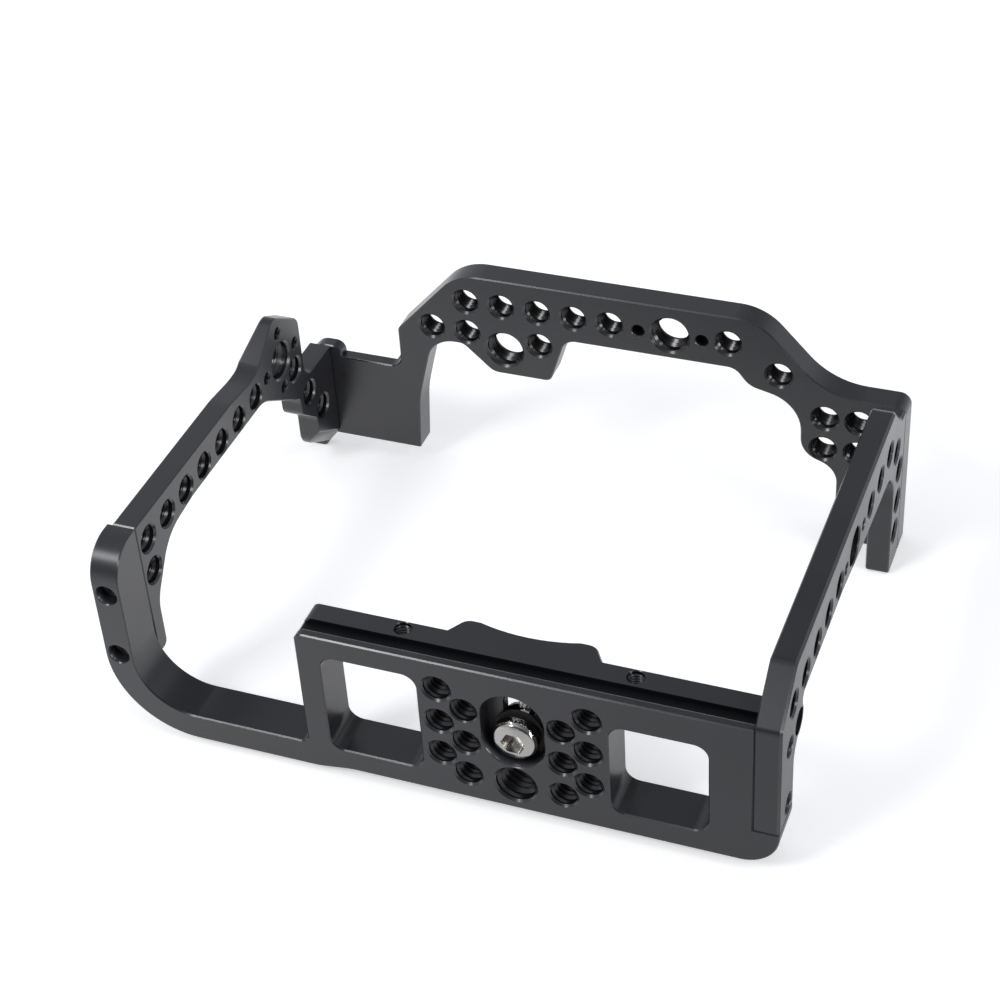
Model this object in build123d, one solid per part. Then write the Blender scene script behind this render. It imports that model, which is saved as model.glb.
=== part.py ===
from build123d import *
import math
import os

# Open-frame camera cage, drawn lying on its back, in millimetres.
# X runs along the base plate, Y from the base plate to the top plate, Z up.
# While drawing, X = 0 is the camera screw's slot, Y = 0 the base plate's outer
# face and Z = 0 the underside of the lower left bar. The finished pieces are then
# moved so that the origin is the centre of the cage's footprint, on the surface
# that the cage lies on.

# ---- The clear space for the camera ------------------------------------------
INNER_WIDTH = 145.9          # between the two side plates
INNER_HEIGHT = 103.3         # between the base plate and the top plate
SLOT_TO_RIGHT_PLATE = 53.5   # slot's centre to the right side plate's inner face

# ---- Plate stock -------------------------------------------------------------
BASE_THICKNESS = 11.0
SIDE_THICKNESS = 5.8
TOP_THICKNESS = 7.0
PANEL_THICKNESS = 3.5        # the top plate's left end, beside the shutter button
REAR_DROP = 1.7              # the top plate's two ends reach this far below the bar

# ---- Base plate --------------------------------------------------------------
BASE_LIFT = 1.2              # its lower edge stands this far above the floor
BASE_DEPTH = 38.8
BASE_LEFT_LENGTH = 50.0      # from the slot to the plate's left edge
BASE_CORNER_RADIUS = 8.5
BASE_TOP_RADIUS = 2.0        # upper left corner
BASE_LEFT_FILLET = 2.0
LIFT_BLEND_START = 48.0      # where the lower edge begins to rise, left of the slot
LIFT_BLEND_LENGTH = 8.0
FOOT_STEP_HEIGHT = 9.8       # height of the step that carries the right plate's foot
GROOVE_START = 2.15          # accessory groove along the upper edge
GROOVE_WIDTH = 3.45
GROOVE_DEPTH = 1.4

# ---- Lower left bar and post, one piece with the base plate ---------------------
BAR_WIDTH = 7.0
BEND_RADIUS = 14.0           # inside of the bend between bar and post
POST_HEIGHT = 50.9
POST_PROUD = 1.25            # the post stands this far outside the left plate
POST_NOSE_RADIUS = 9.0

# ---- Left side plate ---------------------------------------------------------------
LEFT_ARM_DEPTH = 10.4
LEFT_FLANGE_WIDTH = 4.2      # front flange behind the post
LEFT_FLANGE_LIFT = 6.2       # from the bar up to the flange
LEFT_FLANGE_HEIGHT = 13.3
LEFT_ARM_DIP = 1.0           # shallow dip in the arm's upper edge
LEFT_ROW_DEPTH = 6.5         # row of holes below the arm's upper edge
LEFT_HEAD_PEAK = 59.0        # height of the peak above the large hole
LEFT_HEAD_SHOULDER = 50.6
LEFT_TAPER_START = 51.0      # above this the head's outer face leans inwards
LEFT_TAPER = 2.9             # thickness lost at the peak
LEFT_HEAD_WIDTH = 19.7       # middle step, measured from the top plate
LEFT_NOTCH_WIDTH = 15.4      # open space between the peak and the top plate
LEFT_NOTCH_FLOOR = 32.1
LEFT_STEP_WIDTH = 12.2       # lowest step
LEFT_STEP_HEIGHT = 17.1
LEFT_STEP_FOOT = 8.0         # where the lowest step ends, above the bar's underside
LEFT_END_SLOPE = 0.63        # the lower end falls by this for each millimetre of Y
LEFT_END_CHAMFER = 3.5       # on the inner side of the lower end
LEFT_END_CHAMFER_HEIGHT = 4.5

# ---- Right side plate --------------------------------------------------------------
RIGHT_ARM_TOP = 50.2
RIGHT_ARM_DEPTH = 14.0
RIGHT_FOOT_WIDTH = 6.6       # behind the base plate
RIGHT_LEG_WIDTH = 9.8
RIGHT_TAPER_START = 52.0     # the arm's lower edge falls from here towards the leg
RIGHT_LEG_TAPER = 4.0        # by this much in all
RIGHT_LEG_RADIUS = 10.0
RIGHT_ROW_DEPTH = 9.7        # row of holes below the arm's upper edge
RIGHT_ROW_START = 9.6
RIGHT_ROW_PITCH = 9.785

# ---- Top plate ---------------------------------------------------------------------
RIDGE_HEIGHT = 60.3
SHOULDER_HEIGHT = 41.9       # the right end, level with the right side plate
TAB_PROUD = 4.8              # the tab stands this far outside the left side plate
TAB_TOP = 32.1
PANEL_TOP = 29.0
PANEL_BOTTOM = 3.5
PANEL_LENGTH = 20.0          # from the left plate's inner face to the neck
BRIDGE_UNDERSIDE = 45.6
BRIDGE_LEFT = 65.6           # from the left plate's inner face to the bridge
BRIDGE_RIGHT = 36.5          # from the right plate's inner face to the bridge
LOBE_UNDERSIDE = 32.4        # lobe that carries the left large hole
LOBE_LEFT = 45.8             # from the left plate's inner face
LOBE_RIGHT = 61.2
NECK_WIDTH = 23.3            # from the left plate's inner face
RIGHT_END_WIDTH = 10.4       # from the right plate's inner face
RIDGE_LEFT = 37.5            # from the left plate's inner face
RIDGE_RIGHT = 30.8           # from the right plate's inner face
RIDGE_RADIUS = 14.0
RIDGE_ROW_HEIGHT = 52.6

# ---- Windows in the base plate ---------------------------------------------------
WINDOW_RADIUS = 3.4
LEFT_WINDOW_WIDTH = 22.6
LEFT_WINDOW_HEIGHT = 27.3
LEFT_WINDOW_X = -33.05
RIGHT_WINDOW_WIDTH = 21.9
RIGHT_WINDOW_HEIGHT = 25.1
RIGHT_WINDOW_X = 32.85
WINDOW_SILL = 5.85           # from the plate's lower edge to both windows

# ---- Camera screw and its slot -----------------------------------------------------
SLOT_HEIGHT = 23.05          # slot's centre above the plate's lower edge
SCREW_TRAVEL = 7.0           # along the slot
SCREW_HEAD_DIAMETER = 10.6
SCREW_HEAD_THICKNESS = 2.2
SCREW_DIAMETER = 6.2
SCREW_NECK_DIAMETER = 5.0
SCREW_PROTRUSION = 5.0       # thread inside the camera when tightened
HEAD_SETBACK = 1.0           # head's face behind the plate's face when loose
HEAD_SOCKET = 5.0            # hexagon across flats
HEAD_SOCKET_DEPTH = 1.5
HEAD_CHAMFER = 0.6
TIP_CHAMFER = 0.8
LEDGE_START = 5.0            # head recess depth
LEDGE_THICKNESS = 2.6
SLOT_CLEARANCE = 0.3         # around the screw in the narrow slot
HEAD_CLEARANCE = 2.0         # each side of the head in its recess
HEAD_END_CLEARANCE = 1.35    # past the head at both ends of its travel
WASHER_THICKNESS = 0.6
WASHER_DIAMETER = 11.4
CLIP_DIAMETER = 9.6
CLIP_THICKNESS = 0.7
CLIP_GAP = 2.4               # opening of the clip
CLIP_SIDE_CLEARANCE = 0.05   # each side of the clip in its groove
BORE_CLEARANCE = 0.1         # washer round the screw, and half of it for the clip
CLIP_RECESS_CLEARANCE = 1.0
RUNNING_GAP = 0.3

# ---- Rib on the base plate's inner face that stops the camera turning ----------------
RIB_LEFT = -18.0
RIB_RIGHT = 17.4
RIB_SLOPE = 2.8
RIB_HEIGHT = 4.4
RIB_THICKNESS = 2.6
RIB_NOSE_RADIUS = 3.0
RIB_SCOOP_DEPTH = 1.6
RIB_SCOOP_RADIUS = 42.0

# ---- Threaded holes -------------------------------------------------------------------
QUARTER_RADIUS = 3.175       # 1/4 inch thread, major radius
THREE_EIGHTHS_RADIUS = 4.76  # 3/8 inch thread, major radius
PIN_HOLE_RADIUS = 1.5
PIN_HOLE_DEPTH = 3.0
PIN_PITCH = 8.1              # locating pin holes from the 3/8 hole's centre
SIDE_M4_RADIUS = 2.0
SIDE_M4_DEPTH = 8.0
SIDE_M4_Y = 8.5
SIDE_M4_X = (-27.4, 25.6)
HOLE_PITCH = 9.5
INNER_COLUMN = 11.1          # base plate's columns of holes, from the slot's centre
OUTER_COLUMN = 17.05
LOWEST_HOLE = 7.42           # above the base plate's lower edge
BASE_LARGE_HOLE = 7.2        # above the base plate's lower edge
LARGE_HOLE_SPACE = 13.5      # from a large hole to the next small one, at least

# ---- Joining screws, M2.5 with cylinder heads ---------------------------------------
JOIN_RADIUS = 1.25
JOIN_HEAD_RADIUS = 2.25
JOIN_HEAD_HEIGHT = 2.5
JOIN_LOW_HEAD_HEIGHT = 1.5   # for the top plate's thin left end
JOIN_SOCKET = 2.0
JOIN_BORE_RADIUS = 2.5
JOIN_BORE_DEPTH = 3.2
JOIN_LOW_BORE_DEPTH = 1.8
JOIN_LENGTH = 8.0
POST_SCREW_LENGTH = 8.0
POST_BORE_DEPTH = 5.2

# ---- Places worked out from the sizes above --------------------------------------------
RIGHT_IN = SLOT_TO_RIGHT_PLATE
RIGHT_OUT = RIGHT_IN + SIDE_THICKNESS
LEFT_IN = RIGHT_IN - INNER_WIDTH
LEFT_OUT = LEFT_IN - SIDE_THICKNESS
TOP_IN = BASE_THICKNESS + INNER_HEIGHT
TOP_OUT = TOP_IN + TOP_THICKNESS
BASE_TOP = BASE_LIFT + BASE_DEPTH
FOOT_Z = BASE_LIFT + FOOT_STEP_HEIGHT
POST_OUT = LEFT_OUT - POST_PROUD
POST_IN = POST_OUT + BAR_WIDTH
PANEL_OUT = TOP_IN + PANEL_THICKNESS
LEFT_ROW_Z = POST_HEIGHT - LEFT_ROW_DEPTH
LEFT_ROW_START = BASE_THICKNESS + HOLE_PITCH - 5.0
RIGHT_ROW_Z = RIGHT_ARM_TOP - RIGHT_ROW_DEPTH


def outline(plane, corners):
    """A face on the plane from (u, v, radius) corners, each rounded by its radius."""
    points = [(u, v) for u, v, radius in corners]
    radii = [radius for u, v, radius in corners]
    return plane * make_face(FilletPolyline(*points, radius=radii, close=True))


def slab_xz(corners, y_start, y_end):
    """A plate between two Y planes, outlined in X and Z."""
    plane = Plane(origin=(0, y_start, 0), x_dir=(1, 0, 0), z_dir=(0, -1, 0))
    return extrude(outline(plane, corners), amount=y_start - y_end)


def slab_yz(corners, x_start, x_end):
    """A plate between two X planes, outlined in Y and Z."""
    plane = Plane(origin=(x_start, 0, 0), x_dir=(0, 1, 0), z_dir=(1, 0, 0))
    return extrude(outline(plane, corners), amount=x_end - x_start)


def rod_y(x, z, radius, y_start, y_end):
    """A round rod along Y."""
    middle = (y_start + y_end) / 2
    return Pos(x, middle, z) * Rot(90, 0, 0) * Cylinder(radius, abs(y_end - y_start))


def rod_x(y, z, radius, x_start, x_end):
    """A round rod along X."""
    middle = (x_start + x_end) / 2
    return Pos(middle, y, z) * Rot(0, 90, 0) * Cylinder(radius, abs(x_end - x_start))


def cap_screw(length, head_height=JOIN_HEAD_HEIGHT):
    """A cylinder-head screw along Z: its head stands on Z = 0, its shank hangs below."""
    head = Pos(0, 0, head_height / 2) * Cylinder(JOIN_HEAD_RADIUS, head_height)
    shank = Pos(0, 0, -length / 2) * Cylinder(JOIN_RADIUS, length)
    socket_face = Pos(0, 0, head_height) * RegularPolygon(JOIN_SOCKET / 2, 6, major_radius=False)
    return head + shank - extrude(socket_face, amount=-head_height / 2)


def row_length(start, end, pitch):
    """How many holes of a row fit between two places."""
    return max(1, int((end - start) / pitch) + 1)


# ---- Joining screws' places ------------------------------------------------------------
POST_SCREW_X = POST_IN - BAR_WIDTH / 2
POST_SCREW_Z = [POST_HEIGHT - 29.3, POST_HEIGHT - 11.7]
FOOT_SCREWS = [(7.0, FOOT_Z + 3.1), (7.2, FOOT_Z + 19.5)]     # (Y, Z) in the right plate's foot
LEFT_TAB_SCREW_Z = [LEFT_STEP_FOOT + 2.5, LEFT_NOTCH_FLOOR - 8.1]
RIGHT_END_SCREW_Z = [4.1 - REAR_DROP, SHOULDER_HEIGHT - 5.9]
LEFT_PLATE_MIDDLE = (LEFT_IN + LEFT_OUT) / 2
RIGHT_PLATE_MIDDLE = (RIGHT_IN + RIGHT_OUT) / 2
LEFT_END_SEAT = PANEL_OUT - JOIN_LOW_BORE_DEPTH
RIGHT_END_SEAT = TOP_OUT - JOIN_BORE_DEPTH

# ---- Camera screw's places along Y -----------------------------------------------------
SLOT_Z = BASE_LIFT + SLOT_HEIGHT
SCREW_Z = SLOT_Z - SCREW_TRAVEL / 2
HEAD_BACK = HEAD_SETBACK + SCREW_HEAD_THICKNESS
SCREW_ADVANCE = LEDGE_START - WASHER_THICKNESS - HEAD_BACK
SCREW_TIP = BASE_THICKNESS + SCREW_PROTRUSION - SCREW_ADVANCE
LEDGE_END = LEDGE_START + LEDGE_THICKNESS
CLIP_START = LEDGE_END + RUNNING_GAP
CLIP_END = CLIP_START + CLIP_THICKNESS


def slot(disc, side_clearance, end_clearance, y_start, y_end):
    """An upright round-ended slot in which a disc travels with the screw."""
    width = disc + 2 * side_clearance
    height = disc + SCREW_TRAVEL + 2 * end_clearance
    plane = Plane(origin=(0, y_start, SLOT_Z), x_dir=(1, 0, 0), z_dir=(0, -1, 0))
    face = plane * SlotOverall(height, width, rotation=90)
    return extrude(face, amount=y_start - y_end)


def window(middle_x, width, height):
    """A rounded rectangular cut right through the base plate."""
    middle_z = BASE_LIFT + WINDOW_SILL + height / 2
    plane = Plane(origin=(middle_x, 0, middle_z), x_dir=(1, 0, 0), z_dir=(0, -1, 0))
    face = plane * RectangleRounded(width, height, WINDOW_RADIUS)
    return extrude(face, amount=-BASE_THICKNESS)


def base_hole_places():
    """(X, Z) of the 1/4 inch holes: two staggered columns each side of the slot."""
    stagger = HOLE_PITCH / 2
    places = []
    for side in (-1, 1):
        for row in range(3):
            height = BASE_LIFT + LOWEST_HOLE + row * HOLE_PITCH
            places.append((side * INNER_COLUMN, height))
            places.append((side * OUTER_COLUMN, height + stagger))
    return places


def make_base_plate():
    """Base plate with its left bar and post."""
    blend_end = LIFT_BLEND_LENGTH - LIFT_BLEND_START
    corners = [
        (POST_OUT, 0, BEND_RADIUS + BAR_WIDTH),
        (-LIFT_BLEND_START, 0, 20),
        (blend_end, BASE_LIFT, 20),
        (RIGHT_OUT, BASE_LIFT, BASE_CORNER_RADIUS),
        (RIGHT_OUT, FOOT_Z, 0),
        (RIGHT_IN, FOOT_Z, 0),
        (RIGHT_IN, BASE_TOP, 0),
        (-BASE_LEFT_LENGTH, BASE_TOP, BASE_TOP_RADIUS),
        (-BASE_LEFT_LENGTH, BAR_WIDTH, BASE_LEFT_FILLET),
        (POST_IN, BAR_WIDTH, BEND_RADIUS),
        (POST_IN, POST_HEIGHT, 0),
        (POST_OUT, POST_HEIGHT, 0),
    ]
    body = slab_xz(corners, 0, BASE_THICKNESS)
    nose = body.edges().filter_by(Axis.X).sort_by(lambda edge: edge.center().Z - edge.center().Y)[-1]
    body = fillet(nose, POST_NOSE_RADIUS)

    rib_corners = [
        (RIB_LEFT, BASE_THICKNESS - 1, 0),
        (RIB_LEFT, BASE_THICKNESS, 0),
        (RIB_LEFT + RIB_SLOPE, BASE_THICKNESS + RIB_HEIGHT, RIB_NOSE_RADIUS),
        (RIB_RIGHT - RIB_SLOPE, BASE_THICKNESS + RIB_HEIGHT, RIB_NOSE_RADIUS),
        (RIB_RIGHT, BASE_THICKNESS, 0),
        (RIB_RIGHT, BASE_THICKNESS - 1, 0),
    ]
    rib = extrude(outline(Plane.XY.offset(BASE_TOP - RIB_THICKNESS), rib_corners), amount=RIB_THICKNESS)
    scoop_y = BASE_THICKNESS + RIB_HEIGHT - RIB_SCOOP_DEPTH + RIB_SCOOP_RADIUS
    rib -= Pos((RIB_LEFT + RIB_RIGHT) / 2, scoop_y, BASE_TOP) * Cylinder(RIB_SCOOP_RADIUS, 4 * RIB_THICKNESS)
    body += rib

    groove_length = RIGHT_IN + BASE_LEFT_LENGTH
    groove_middle = (RIGHT_IN - BASE_LEFT_LENGTH) / 2
    body -= Pos(groove_middle, GROOVE_START + GROOVE_WIDTH / 2, BASE_TOP) * Box(
        groove_length, GROOVE_WIDTH, 2 * GROOVE_DEPTH
    )
    body -= window(LEFT_WINDOW_X, LEFT_WINDOW_WIDTH, LEFT_WINDOW_HEIGHT)
    body -= window(RIGHT_WINDOW_X, RIGHT_WINDOW_WIDTH, RIGHT_WINDOW_HEIGHT)

    body -= slot(SCREW_HEAD_DIAMETER, HEAD_CLEARANCE, HEAD_END_CLEARANCE, 0, LEDGE_START)
    body -= slot(SCREW_DIAMETER, SLOT_CLEARANCE, SLOT_CLEARANCE, LEDGE_START, LEDGE_END)
    body -= slot(CLIP_DIAMETER, CLIP_RECESS_CLEARANCE, CLIP_RECESS_CLEARANCE, LEDGE_END, BASE_THICKNESS)

    for x, z in base_hole_places():
        body -= rod_y(x, z, QUARTER_RADIUS, 0, BASE_THICKNESS)
    body -= rod_y(0, BASE_LIFT + BASE_LARGE_HOLE, THREE_EIGHTHS_RADIUS, 0, BASE_THICKNESS)

    for x in SIDE_M4_X:
        body -= Pos(x, SIDE_M4_Y, BASE_TOP - SIDE_M4_DEPTH / 2) * Cylinder(SIDE_M4_RADIUS, SIDE_M4_DEPTH)

    for z in POST_SCREW_Z:
        body -= rod_y(POST_SCREW_X, z, JOIN_BORE_RADIUS, 0, POST_BORE_DEPTH)
        body -= rod_y(POST_SCREW_X, z, JOIN_RADIUS, POST_BORE_DEPTH, BASE_THICKNESS)
    screw_reach = JOIN_LENGTH - (SIDE_THICKNESS - JOIN_BORE_DEPTH)
    for y, z in FOOT_SCREWS:
        body -= rod_x(y, z, JOIN_RADIUS, RIGHT_IN - screw_reach, RIGHT_IN)
    return body


def make_left_side_plate():
    """Left side plate: a front flange, a slim arm and a stepped head at the top plate."""
    arm_top = POST_HEIGHT
    arm_bottom = arm_top - LEFT_ARM_DEPTH
    flange_bottom = BAR_WIDTH + LEFT_FLANGE_LIFT
    flange_back = BASE_THICKNESS + LEFT_FLANGE_WIDTH
    head_front = TOP_IN - LEFT_HEAD_WIDTH
    step_front = TOP_IN - LEFT_STEP_WIDTH
    notch_front = TOP_IN - LEFT_NOTCH_WIDTH
    peak_y = TOP_IN - 28.3
    corners = [
        (BASE_THICKNESS, flange_bottom, 0.8),
        (flange_back, flange_bottom, 1.9),
        (flange_back, flange_bottom + LEFT_FLANGE_HEIGHT, 9),
        (BASE_THICKNESS + 13.0, arm_bottom - 1.5, 12),
        (BASE_THICKNESS + 26.0, arm_bottom, 12),
        (TOP_IN - 38.3, arm_bottom, 10),
        (head_front, LEFT_NOTCH_FLOOR - 3.9, 3),
        (head_front, LEFT_STEP_HEIGHT + 6.2, 3),
        (step_front, LEFT_STEP_HEIGHT, 2),
        (step_front, LEFT_STEP_FOOT, 5),
        (TOP_IN, LEFT_STEP_FOOT - LEFT_END_SLOPE * LEFT_STEP_WIDTH, 0),
        (TOP_IN, LEFT_NOTCH_FLOOR, 0),
        (notch_front, LEFT_NOTCH_FLOOR, 4),
        (notch_front, LEFT_HEAD_SHOULDER, 3.5),
        (peak_y, LEFT_HEAD_PEAK, 3),
        (TOP_IN - 39.3, arm_top - 0.8, 6),
        (TOP_IN - 44.3, arm_top - LEFT_ARM_DIP, 20),
        (TOP_IN - 54.3, arm_top, 20),
        (BASE_THICKNESS, arm_top, 0),
    ]
    body = slab_yz(corners, LEFT_OUT, LEFT_IN)
    taper = [
        (LEFT_OUT, LEFT_TAPER_START, 0),
        (LEFT_OUT + LEFT_TAPER, LEFT_HEAD_PEAK, 0),
        (LEFT_OUT, LEFT_HEAD_PEAK, 0),
    ]
    body -= slab_xz(taper, TOP_IN - 45.0, TOP_IN)
    chamfer_line = LEFT_STEP_FOOT + LEFT_END_CHAMFER_HEIGHT
    past_step = 2.0
    chamfer_corners = [
        (step_front - past_step, chamfer_line + past_step * LEFT_END_SLOPE, 0),
        (TOP_IN, chamfer_line - LEFT_END_SLOPE * LEFT_STEP_WIDTH, 0),
        (TOP_IN, -TOP_THICKNESS, 0),
        (step_front - past_step, -TOP_THICKNESS, 0),
    ]
    inner_face = Plane(origin=(LEFT_IN, 0, 0), x_dir=(0, 1, 0), z_dir=(1, 0, 0))
    slant = (-LEFT_END_CHAMFER, 0, -LEFT_END_CHAMFER_HEIGHT)
    slant_length = math.hypot(LEFT_END_CHAMFER, LEFT_END_CHAMFER_HEIGHT)
    body -= extrude(outline(inner_face, chamfer_corners), amount=slant_length, dir=slant)
    large_y = TOP_IN - 26.9
    large_z = LEFT_ROW_Z + 0.9
    quarter = [(LEFT_ROW_START, LEFT_ROW_Z - 9.25)]
    quarter += [(TOP_IN - 20.3, 38.2), (TOP_IN - 14.3, 26.9), (TOP_IN - 7.8, 18.2)]
    row = row_length(LEFT_ROW_START, large_y - LARGE_HOLE_SPACE, HOLE_PITCH)
    quarter += [(LEFT_ROW_START + n * HOLE_PITCH, LEFT_ROW_Z) for n in range(row)]
    for y, z in quarter:
        body -= rod_x(y, z, QUARTER_RADIUS, LEFT_OUT, LEFT_IN)
    body -= rod_x(large_y, large_z, THREE_EIGHTHS_RADIUS, LEFT_OUT, LEFT_IN)
    for dy, dz in ((1, 0), (-1, 0), (0, 1), (0, -1)):
        pin_y = large_y + dy * PIN_PITCH
        pin_z = large_z + dz * PIN_PITCH
        body -= rod_x(pin_y, pin_z, PIN_HOLE_RADIUS, LEFT_IN - PIN_HOLE_DEPTH, LEFT_IN)
    for z in POST_SCREW_Z:
        body -= rod_y(POST_SCREW_X, z, JOIN_RADIUS, BASE_THICKNESS, POST_BORE_DEPTH + POST_SCREW_LENGTH)
    for z in LEFT_TAB_SCREW_Z:
        body -= rod_y(LEFT_PLATE_MIDDLE, z, JOIN_RADIUS, LEFT_END_SEAT - JOIN_LENGTH, TOP_IN)
    return body


def make_right_side_plate():
    """Right side plate: a foot in the base plate's step, an arm and a leg at the top plate."""
    arm_bottom = RIGHT_ARM_TOP - RIGHT_ARM_DEPTH
    foot_back = BASE_THICKNESS + RIGHT_FOOT_WIDTH
    leg_front = TOP_IN - RIGHT_LEG_WIDTH
    corners = [
        (0, FOOT_Z, 0),
        (BASE_THICKNESS, FOOT_Z, 0.8),
        (BASE_THICKNESS, arm_bottom - 11.2, 6),
        (foot_back, arm_bottom - 5.7, 3),
        (foot_back, arm_bottom, 1.5),
        (RIGHT_TAPER_START, arm_bottom, 12),
        (RIGHT_TAPER_START + 20.0, arm_bottom - 0.55 * RIGHT_LEG_TAPER, 12),
        (leg_front, arm_bottom - RIGHT_LEG_TAPER, RIGHT_LEG_RADIUS),
        (leg_front, -REAR_DROP, 1),
        (TOP_IN, -REAR_DROP, 0),
        (TOP_IN, SHOULDER_HEIGHT, 0),
        (TOP_IN - 4.5, SHOULDER_HEIGHT, 4),
        (TOP_IN - 12.8, RIGHT_ARM_TOP, 2.5),
        (11.5, RIGHT_ARM_TOP, 3),
        (0, BASE_TOP + 0.6, 2),
    ]
    body = slab_yz(corners, RIGHT_IN, RIGHT_OUT)
    large_y = TOP_IN - 51.6
    rear_row = TOP_IN - 36.2
    quarter = [(14.5, RIGHT_ROW_Z - 9.3)]
    quarter += [(TOP_IN - 8.3, 35.2), (TOP_IN - 4.3, 27.0), (TOP_IN - 4.3, 17.5), (TOP_IN - 5.3, 8.7)]
    front_row = row_length(RIGHT_ROW_START, large_y - LARGE_HOLE_SPACE, RIGHT_ROW_PITCH)
    quarter += [(RIGHT_ROW_START + n * RIGHT_ROW_PITCH, RIGHT_ROW_Z) for n in range(front_row)]
    quarter += [(rear_row + n * RIGHT_ROW_PITCH, RIGHT_ROW_Z) for n in range(3)]
    for y, z in quarter:
        body -= rod_x(y, z, QUARTER_RADIUS, RIGHT_IN, RIGHT_OUT)
    body -= rod_x(large_y, RIGHT_ROW_Z, THREE_EIGHTHS_RADIUS, RIGHT_IN, RIGHT_OUT)
    for side in (-1, 1):
        pin_y = large_y + side * PIN_PITCH
        body -= rod_x(pin_y, RIGHT_ROW_Z, PIN_HOLE_RADIUS, RIGHT_OUT - PIN_HOLE_DEPTH, RIGHT_OUT)
    for y, z in FOOT_SCREWS:
        body -= rod_x(y, z, JOIN_BORE_RADIUS, RIGHT_OUT - JOIN_BORE_DEPTH, RIGHT_OUT)
        body -= rod_x(y, z, JOIN_RADIUS, RIGHT_IN, RIGHT_OUT)
    for z in RIGHT_END_SCREW_Z:
        body -= rod_y(RIGHT_PLATE_MIDDLE, z, JOIN_RADIUS, RIGHT_END_SEAT - JOIN_LENGTH, TOP_IN)
    return body


def make_top_plate():
    """Top plate: left tab, shutter-side panel, bridge over the finder and the dial scallops."""
    tab_out = LEFT_OUT - TAB_PROUD
    tab_in = LEFT_IN + 3.1
    neck = LEFT_IN + PANEL_LENGTH
    right_end = RIGHT_IN - RIGHT_END_WIDTH
    corners = [
        (LEFT_OUT + 1.0, -REAR_DROP, 1.5),
        (LEFT_IN - 1.5, PANEL_BOTTOM, 1),
        (LEFT_IN + NECK_WIDTH, PANEL_BOTTOM, 0),
        (LEFT_IN + NECK_WIDTH + 1.1, 20.0, 30),
        (LEFT_IN + NECK_WIDTH + 6.1, BRIDGE_UNDERSIDE - 6.0, 8),
        (LEFT_IN + LOBE_LEFT - 7.9, BRIDGE_UNDERSIDE - 6.0, 3),
        (LEFT_IN + LOBE_LEFT, LOBE_UNDERSIDE, 4),
        (LEFT_IN + LOBE_RIGHT, LOBE_UNDERSIDE, 2),
        (LEFT_IN + BRIDGE_LEFT, BRIDGE_UNDERSIDE, 4),
        (RIGHT_IN - BRIDGE_RIGHT, BRIDGE_UNDERSIDE, 4),
        (RIGHT_IN - 33.0, 41.0, 6),
        (RIGHT_IN - 19.9, 38.0, 10),
        (RIGHT_IN - 19.7, 23.5, 6),
        (right_end, 20.3, 6),
        (right_end, -REAR_DROP, 0),
        (RIGHT_OUT, -REAR_DROP, 0),
        (RIGHT_OUT, SHOULDER_HEIGHT, 3),
        (RIGHT_IN - 13.5, SHOULDER_HEIGHT, 20),
        (RIGHT_IN - RIDGE_RIGHT, RIDGE_HEIGHT, RIDGE_RADIUS),
        (LEFT_IN + RIDGE_LEFT, RIDGE_HEIGHT, RIDGE_RADIUS),
        (neck, SHOULDER_HEIGHT - 0.9, 2),
        (neck, PANEL_TOP, 3),
        (tab_in, PANEL_TOP, 0),
        (tab_in, TAB_TOP, 2.5),
        (tab_in - 6.2, TAB_TOP, 4),
        (tab_out, TAB_TOP - 8.1, 2),
        (tab_out, -REAR_DROP, 2),
    ]
    body = slab_xz(corners, TOP_IN, TOP_OUT)
    thin_end = neck - 2.6
    body -= Pos((tab_out + thin_end) / 2, (PANEL_OUT + TOP_OUT) / 2, RIDGE_HEIGHT / 2) * Box(
        thin_end - tab_out, TOP_OUT - PANEL_OUT, 2 * RIDGE_HEIGHT
    )
    large_left = (LEFT_IN + 49.3, 39.8)
    large_middle = (RIGHT_IN - 53.0, RIDGE_ROW_HEIGHT - 0.4)
    ridge_start = LEFT_IN + 39.4
    row = row_length(ridge_start, large_middle[0] - LARGE_HOLE_SPACE, HOLE_PITCH)
    quarter = [(ridge_start + n * HOLE_PITCH, RIDGE_ROW_HEIGHT) for n in range(row)]
    quarter += [(RIGHT_IN - 38.3, RIDGE_ROW_HEIGHT), (RIGHT_IN - 25.5, 45.6)]
    quarter += [(LEFT_IN + 29.7, 43.6), (LEFT_IN + 39.3, 43.5), (LEFT_IN + 58.6, 42.8)]
    quarter += [(RIGHT_IN - 13.8, 35.1), (RIGHT_IN - 14.0, 25.9), (RIGHT_IN - 5.4, 35.3), (RIGHT_IN - 5.5, 26.0)]
    for x, z in quarter:
        body -= rod_y(x, z, QUARTER_RADIUS, TOP_IN, TOP_OUT)
    for x, z in (large_left, large_middle):
        body -= rod_y(x, z, THREE_EIGHTHS_RADIUS, TOP_IN, TOP_OUT)
    for side in (-1, 1):
        pin_x = large_middle[0] + side * PIN_PITCH
        body -= rod_y(pin_x, large_middle[1], PIN_HOLE_RADIUS, TOP_IN, TOP_IN + PIN_HOLE_DEPTH)
    for z in LEFT_TAB_SCREW_Z:
        body -= rod_y(LEFT_PLATE_MIDDLE, z, JOIN_BORE_RADIUS, LEFT_END_SEAT, PANEL_OUT)
        body -= rod_y(LEFT_PLATE_MIDDLE, z, JOIN_RADIUS, TOP_IN, LEFT_END_SEAT)
    for z in RIGHT_END_SCREW_Z:
        body -= rod_y(RIGHT_PLATE_MIDDLE, z, JOIN_BORE_RADIUS, RIGHT_END_SEAT, TOP_OUT)
        body -= rod_y(RIGHT_PLATE_MIDDLE, z, JOIN_RADIUS, TOP_IN, RIGHT_END_SEAT)
    return body


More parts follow.
